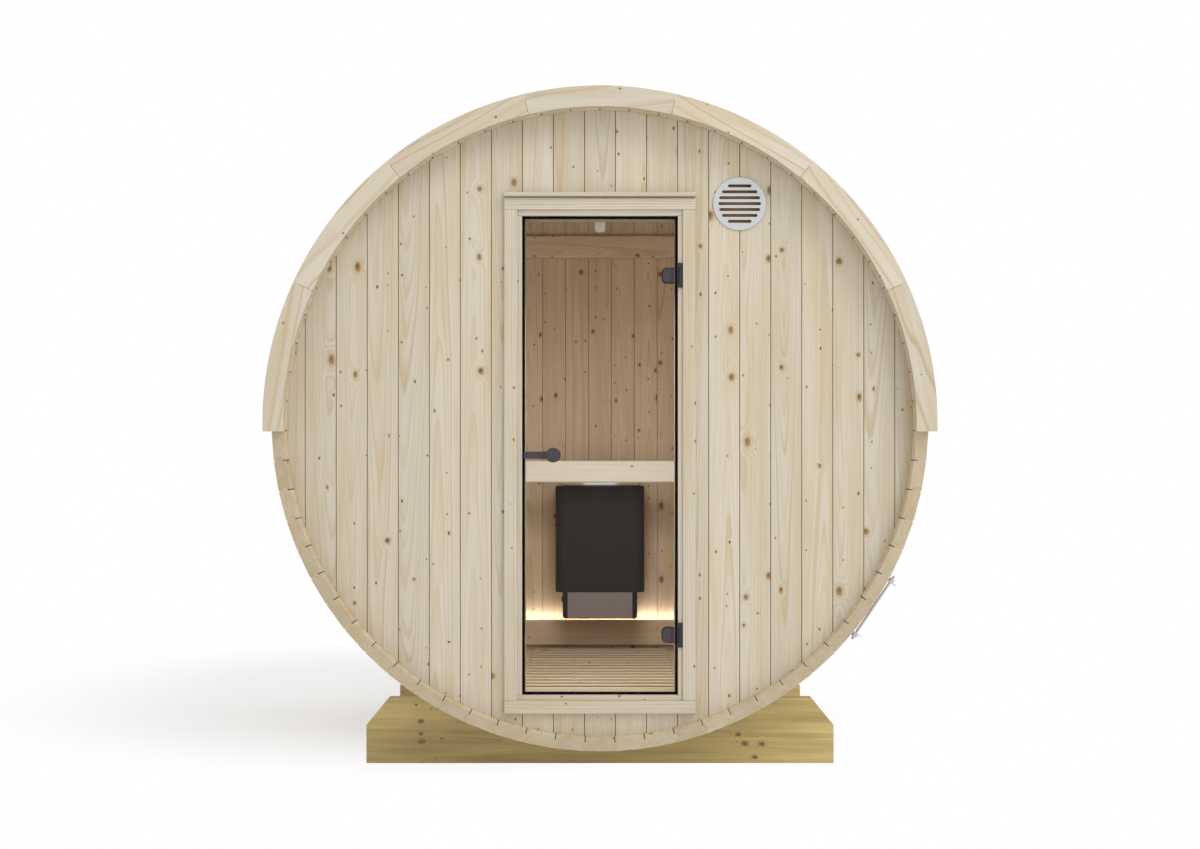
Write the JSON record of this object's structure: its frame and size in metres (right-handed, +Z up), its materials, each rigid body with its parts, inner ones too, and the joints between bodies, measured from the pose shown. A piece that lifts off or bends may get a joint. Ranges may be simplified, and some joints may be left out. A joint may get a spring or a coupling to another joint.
{
  "type": "barrel sauna",
  "caption": "Barrel sauna of bead-and-cove staves on timber cradles, with boarded ends, steel hoops, an outward glass door, a duckboard floor and a wall heater.",
  "frame": {"origin": "on the ground under the middle of the barrel", "axes": "+Z up, +Y from the door into the cabin, +X to the right seen from the door side"},
  "size_m": [2.2518, 2.156, 2.3688],
  "materials": {
    "spruce_staves": "planed spruce, oiled thin",
    "spruce_boards": "planed spruce boards with knots",
    "spruce_planed": "planed spruce",
    "aspen_planed": "planed and rounded aspen",
    "treated_pine": "sawn pine, pressure treated",
    "bitumen_felt": "mineral-faced bitumen shingle",
    "zinc_steel": "zinc-plated strap",
    "clear_glass": "clear toughened glass",
    "grey_metal": "satin dark grey powder coat",
    "seal_rubber": "black rubber",
    "pale_metal": "brushed pale metal",
    "black_enamel": "matt heat-proof black",
    "heater_steel": "brushed stainless",
    "black_plastic": "moulded black",
    "white_plastic": "moulded white",
    "light_lens": "opal diffuser, lit warm"
  },
  "bodies": {
    "cabin": {"arch_trim_front": "spruce_planed", "arch_trim_rear": "spruce_planed", "back_batten_low": "spruce_planed", "back_batten_top": "spruce_planed", "back_wall": "spruce_boards", "casing_bottom": "spruce_planed", "casing_left": "spruce_planed", "casing_right": "spruce_planed", "casing_top": "spruce_planed", "cradle_front": "treated_pine", "cradle_rear": "treated_pine", "door_head": "spruce_planed", "door_jamb_left": "spruce_planed", "door_jamb_right": "spruce_planed", "door_seal": "seal_rubber", "door_sill": "spruce_planed", "drip_cap": "spruce_planed", "floor_joists": "spruce_planed", "floor_slats": "spruce_planed", "front_wall_left": "spruce_boards", "front_wall_over_door": "spruce_boards", "front_wall_right": "spruce_boards", "front_wall_under_door": "spruce_boards", "heater_bracket": "heater_steel", "heater_control_box": "heater_steel", "heater_core": "heater_steel", "heater_cover": "black_enamel", "heater_dial": "black_plastic", "heater_end_caps": "black_plastic", "heater_guard_rail": "aspen_planed", "hinge_leaf_lower": "grey_metal", "hinge_leaf_upper": "grey_metal", "hoop_front": "zinc_steel", "hoop_rear": "zinc_steel", "hoop_rod_front": "zinc_steel", "hoop_rod_rear": "zinc_steel", "latch_plate": "pale_metal", "light_strip": "light_lens", "roof_covering": "bitumen_felt", "staves_bed": "spruce_staves", "staves_left_lower": "spruce_staves", "staves_left_side": "spruce_staves", "staves_left_upper": "spruce_staves", "staves_right_lower": "spruce_staves", "staves_right_side": "spruce_staves", "staves_right_upper": "spruce_staves", "temperature_sensor": "white_plastic", "vent_grille": "pale_metal"},
    "door": {"door_glass": "clear_glass", "door_pull_inside": "grey_metal", "door_pull_outside": "grey_metal", "hinge_clamp_lower": "grey_metal", "hinge_clamp_upper": "grey_metal"}
  },
  "joints": [
    {"name": "door_swing", "type": "hinge", "parent": "cabin", "child": "door", "pos_m": [0.266, -1.006, 0], "axis": [0, 0, 1], "range_deg": [0, 110]}
  ]
}
